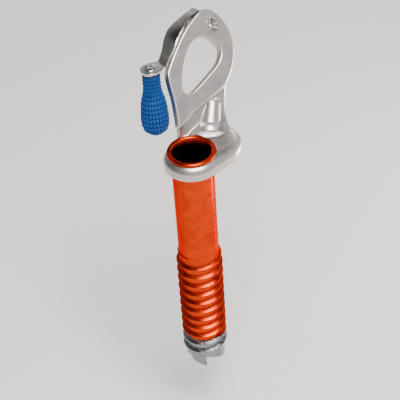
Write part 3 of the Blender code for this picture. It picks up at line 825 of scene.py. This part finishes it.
# The last station of the table leads to the tab, which grows to its full width and closes
# in a half circle, drawn a little short of its very end so that no section has zero width.
TAB_STEPS, TAB_END = 12, 12.6
end_side, end_reach, _, end_width, _ = ARM[-1]
for k in range(1, TAB_STEPS + 1):
    share = k / TAB_STEPS
    ease = math.sin(math.pi / 2 * share)
    stations.append((end_side + (TAB_SIDE - end_side) * share ** 1.2,
                     end_reach + (TAB_REACH - end_reach) * share, TAB_MIDDLE,
                     end_width + (2 * TAB_RADIUS - end_width) * ease, 0.0))
for k in range(1, TAB_STEPS + 1):
    t = math.radians(90 * k / TAB_END)
    stations.append((TAB_SIDE, TAB_REACH + TAB_RADIUS * math.sin(t), TAB_MIDDLE,
                     2 * TAB_RADIUS * math.cos(t), 0.0))
arm = skin("crank_strip", [strip_section(*station) for station in stations], crank)
KNUCKLE_RADIUS, AXLE_HOLE = 4.1, 2.05
half = KNUCKLE_WIDTH / 2
knuckle = rod("knuckle", (-half, 0, 0), (half, 0, 0), KNUCKLE_RADIUS, place=crank, rounding=0.25)
gusset = skin("gusset", [[(x, y, z) for y, z in ((-3.6, 1.0), (3.4, 1.6), (0.6, 5.3), (-5.4, 5.0))]
                         for x in (0.02 - half, half - 0.02)], crank)
boolean(arm, [gusset, knuckle], "UNION")
axle_cut = rod("axle_cut", (TAB_SIDE, -TAB_REACH, -20), (TAB_SIDE, -TAB_REACH, 0), AXLE_HOLE,
               place=crank)
pin_cut = rod("arm_pin_cut", (-9, 0, 0), (9, 0, 0), PIN_RADIUS + FIT, place=crank)
boolean(arm, [axle_cut, pin_cut], "DIFFERENCE")
finish(arm, "crank", ["crank_arm"], polished, sharp=35)

# %% [markdown]
# ## The knob
#
# The grip is a bottle shape covered with small pyramids in rings and columns. Each pyramid
# is real geometry: the skin is a fine grid, and every grid point is lifted by how near it
# is to the middle of its own cell.

# %% Grip with its pyramids
GRIP = [(4.1, 0.9), (4.3, 1.6), (4.35, 6.0), (4.5, 9.5), (4.95, 12.4), (5.8, 15.4), (6.3, 18.5),
        (6.7, 22.5), (6.95, 26.5), (6.8, 29.6), (6.0, 32.4), (4.7, 33.8)]
GRIP_LINE = smooth_line(GRIP, 8)
COLUMNS, FINE = 24, 8
BUMP, NECK_BUMP, BUMP_FLAT = 0.95, 0.7, 1.25
NECK_PITCH, BODY_PITCH, NECK_END = 2.1, 2.45, 12.2
FIRST, LAST = 1.7, 33.2
# The inside of the grip: a straight hole for the sleeve and a wider one for the end plug.
SLEEVE_HOLE, MOUTH_HOLE, PLUG_HOLE, PLUG_DEPTH = 3.05, 3.75, 4.15, 28.8


def grip_radius(depth):
    """Radius at a depth below the tab, on a smooth line through the drawn points."""
    for (r0, d0), (r1, d1) in zip(GRIP_LINE, GRIP_LINE[1:]):
        if d0 <= depth <= d1:
            return r0 + (r1 - r0) * (depth - d0) / (d1 - d0)
    return GRIP_LINE[-1][0]


rows, depth = [], FIRST
while depth < LAST - 1.0:
    pitch = NECK_PITCH if depth < NECK_END - 0.5 else BODY_PITCH
    rows += [(depth + pitch * k / FINE, k / FINE, pitch) for k in range(FINE)]
    depth += pitch
shrink = (LAST - FIRST) / (depth - FIRST)
rows = [(FIRST + (d - FIRST) * shrink, phase, pitch) for d, phase, pitch in rows]
rows.append((LAST, 0.0, BODY_PITCH))
rings = []
for i in range(COLUMNS * FINE):
    t = 2 * math.pi * i / (COLUMNS * FINE)
    u = abs((i / FINE) % 1.0 * 2 - 1)
    line = [(SLEEVE_HOLE, -PLUG_DEPTH), (SLEEVE_HOLE, -0.9), (MOUTH_HOLE, -0.9), (3.8, -1.3)]
    for depth, phase, pitch in rows:
        v = abs(phase * 2 - 1)
        tall = BUMP if pitch == BODY_PITCH else BUMP * NECK_BUMP
        lift = min(1.0, max(0.0, 1.0 - max(u, v)) * BUMP_FLAT)
        line.append((grip_radius(depth) - tall + tall * lift, -depth))
    line += [(4.9 - BUMP, -33.55), (4.5, -33.8), (PLUG_HOLE, -33.7), (PLUG_HOLE, -PLUG_DEPTH)]
    rings.append([(r * math.cos(t), r * math.sin(t), z) for r, z in line])
grip = skin("knob_grip_moulded", rings, knob, closed=True)
finish(grip, "knob", ["knob_grip"], nylon, sharp=80)

end_cap = solid_turned("knob_plug", [(0, -31.2), (3.0, -31.2), (3.9, -31.8), (4.0, -32.2),
                                     (4.0, -33.6), (3.8, -33.95), (3.2, -34.15), (1.6, -34.35),
                                     (1.2, -34.2), (0, -34.2)], knob)
finish(end_cap, "knob", ["knob_end_cap"], nylon)

# %% [markdown]
# ## Axle head
#
# The axle is riveted over on the tab. The tool that spreads it leaves a low dome with a
# pattern of notches, so the head is a polar grid with the notches pressed into it.

# %% Staked axle
HEAD_RADIUS, NOTCHES, TAB_CLEAR = 3.1, 5, STRIP + 0.1
DOME_HEIGHT, NOTCH_DEPTH, NOTCH_MIDDLE, NOTCH_WIDTH = 0.85, 0.42, 1.9, 0.75
DIMPLE_DEPTH, DIMPLE_WIDTH, SHANK_RADIUS = 0.3, 0.6, 1.9
profile_steps, turns = 12, 120
points, faces = [], []
for i in range(profile_steps + 1):
    r = HEAD_RADIUS * i / profile_steps
    for j in range(turns):
        t = 2 * math.pi * j / turns
        dome = DOME_HEIGHT * math.sqrt(max(0.0, 1 - (i / profile_steps) ** 3))
        ring = math.exp(-((r - NOTCH_MIDDLE) / NOTCH_WIDTH) ** 2)
        notch = NOTCH_DEPTH * ring * max(0.0, math.cos(NOTCHES * t)) ** 2
        dimple = DIMPLE_DEPTH * math.exp(-(r / DIMPLE_WIDTH) ** 2)
        points.append((r * math.cos(t), r * math.sin(t), TAB_CLEAR + dome - notch - dimple))
for i in range(profile_steps):
    faces += [(i * turns + j, i * turns + (j + 1) % turns, (i + 1) * turns + (j + 1) % turns,
               (i + 1) * turns + j) for j in range(turns)]
shank = [(HEAD_RADIUS - 0.05, TAB_CLEAR - 0.05), (SHANK_RADIUS, TAB_CLEAR - 0.05),
         (SHANK_RADIUS, -30.2), (1.6, -30.6)]
for r, z in shank:
    base = len(points)
    points += [(r * math.cos(2 * math.pi * j / turns), r * math.sin(2 * math.pi * j / turns), z)
               for j in range(turns)]
    faces += [(base - turns + j, base - turns + (j + 1) % turns, base + (j + 1) % turns, base + j)
              for j in range(turns)]
faces.append(tuple(range(len(points) - turns, len(points))))
axle = mesh_from("axle_staked", points, faces, knob)
shape = bmesh.new()
shape.from_mesh(axle.data)
bmesh.ops.remove_doubles(shape, verts=shape.verts, dist=0.000001)
bmesh.ops.recalc_face_normals(shape, faces=shape.faces)
shape.to_mesh(axle.data)
shape.free()
finish(axle, "crank", ["knob_axle"], polished, sharp=60)

# %% [markdown]
# ## Pieces kept from the frame
#
# The crown, pin and small rings already have their true shapes. They get smooth shading and
# their own finish.

# %% Paint the carried-over nodes
KEPT = {"cutting_crown": ground, "hinge_pin": polished, "tube_lock_ring": bloomed,
        "knob_washer": bloomed, "knob_keeper": bloomed, "knob_sleeve": acetal}
for name, paint in KEPT.items():
    node = frame["nodes"][name]
    node.data.materials.clear()
    node.data.materials.append(paint)
    node.data.shade_smooth()
    node.data.set_sharp_from_angle(angle=math.radians(32))
print("kept", sorted(KEPT))

# %% [markdown]
# ## Studio
#
# The part floats over a plain pale floor, far enough below it that its shadow stays soft.

# %% Floor
floor_mesh = bpy.data.meshes.new("floor")
FLOOR_Z, FLOOR_SIZE = cad_low.z - 0.05, 3.0
floor_mesh.from_pydata([(-FLOOR_SIZE, -FLOOR_SIZE, FLOOR_Z), (FLOOR_SIZE, -FLOOR_SIZE, FLOOR_Z),
                        (FLOOR_SIZE, FLOOR_SIZE, FLOOR_Z), (-FLOOR_SIZE, FLOOR_SIZE, FLOOR_Z)],
                       [], [(0, 1, 2, 3)])
floor = bpy.data.objects.new("floor", floor_mesh)
bpy.context.scene.collection.objects.link(floor)
floor_paint, shader = new_material("floor_pale_paper", "f8f7f5", 0.0, 0.8)
place = add(floor_paint, "ShaderNodeTexCoord")
fibre = add(floor_paint, "ShaderNodeTexNoise", links=[("Vector", place, "Object")],
            inputs=[("Scale", per_mm(3.0)), ("Detail", 2.0)])
tone = ramp(floor_paint, fibre, "Fac", 0.3, 0.7, (hex_colour("f7f6f4"), hex_colour("f9f8f6")))
join(floor_paint, tone, "Color", shader, "Base Color")
floor_mesh.materials.append(floor_paint)
floor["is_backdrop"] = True


# %% [markdown]
# A large soft key hangs high in front, a small one shines from low on the right onto the
# rounded edges, and a weak one stands behind. Metal shows what is around it, so the world
# matters as much as the lamps: it is bright below and at the horizon, falls to dark grey
# overhead and is dimmer on the left, which gives the crank its dark top.

# %% Lights and world
def softbox(name, place, aim, size, power, colour="ffffff"):
    """A rectangular area lamp turned towards a point, left out of the camera's view."""
    light = bpy.data.lights.new(name, "AREA")
    light.shape, light.size, light.size_y = "RECTANGLE", size[0], size[1]
    light.energy = power
    light.color = hex_colour(colour)[:3]
    obj = bpy.data.objects.new(name, light)
    obj.location = place
    obj.rotation_euler = (Vector(aim) - Vector(place)).to_track_quat("-Z", "Y").to_euler()
    obj.visible_camera = False
    bpy.context.scene.collection.objects.link(obj)
    return obj


AIM = Vector((0.0, -0.02, -0.03))
softbox("key_overhead", (0.16, -0.5, 0.95), AIM, (0.62, 0.5), 24.0, "fffdf8")
softbox("low_right", (0.34, 0.08, -0.2), AIM, (0.16, 0.2), 2.2, "fff8ee")
softbox("wash_back", (0.25, 0.9, 0.25), AIM, (0.4, 0.3), 1.6, "ffffff")
world = bpy.data.worlds.new("studio")
world.use_nodes = True
bpy.context.scene.world = world
nodes = world.node_tree
sky = nodes.nodes["Background"]
where = nodes.nodes.new("ShaderNodeTexCoord")
split = nodes.nodes.new("ShaderNodeSeparateXYZ")
nodes.links.new(where.outputs["Generated"], split.inputs["Vector"])
height = nodes.nodes.new("ShaderNodeValToRGB")
stops = height.color_ramp.elements
stops[0].position, stops[0].color = 0.45, (0.86, 0.86, 0.88, 1.0)
stops[1].position, stops[1].color = 0.85, (0.07, 0.07, 0.075, 1.0)
middle = stops.new(0.62)
middle.color = (0.72, 0.72, 0.74, 1.0)
nodes.links.new(split.outputs["Z"], height.inputs["Fac"])
sideways = nodes.nodes.new("ShaderNodeMapRange")
for socket, value in (("From Min", -0.9), ("From Max", 0.1), ("To Min", 0.25), ("To Max", 1.0)):
    sideways.inputs[socket].default_value = value
nodes.links.new(split.outputs["X"], sideways.inputs["Value"])
nodes.links.new(sideways.outputs["Result"], sky.inputs["Strength"])
nodes.links.new(height.outputs["Color"], sky.inputs["Color"])

# %% [markdown]
# The camera looks down on the head from in front with a long lens, tipped a few degrees, so
# the mouth of the tube reads as an open ellipse and the ear stands nearly face on.

# %% Camera
CAMERA_ELEVATION, CAMERA_ROLL = math.radians(40.5), math.radians(4.0)
LENS, SENSOR, DISTANCE = 100.0, 36.0, 0.56
camera_data = bpy.data.cameras.new("camera")
camera_data.lens, camera_data.sensor_width = LENS, SENSOR
camera = bpy.data.objects.new("camera", camera_data)
bpy.context.scene.collection.objects.link(camera)
right = Vector((1, 0, 0))
level_up = Vector((0, math.sin(CAMERA_ELEVATION), math.cos(CAMERA_ELEVATION)))
towards = Vector((0, -math.cos(CAMERA_ELEVATION), math.sin(CAMERA_ELEVATION)))
up = right * math.sin(CAMERA_ROLL) + level_up * math.cos(CAMERA_ROLL)
right = right * math.cos(CAMERA_ROLL) - level_up * math.sin(CAMERA_ROLL)
low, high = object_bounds()
aim = (low + high) / 2 + Vector((0.002, 0.0, -0.002))
camera.matrix_world = (Matrix.Translation(aim + towards * DISTANCE)
                       @ Matrix((right, up, towards)).transposed().to_4x4())
bpy.context.scene.camera = camera
print("camera at", [round(v, 3) for v in camera.location])

# %% [markdown]
# The box of the dressed model is measured once more, with every piece in place.

# %% Sizes
low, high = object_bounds()
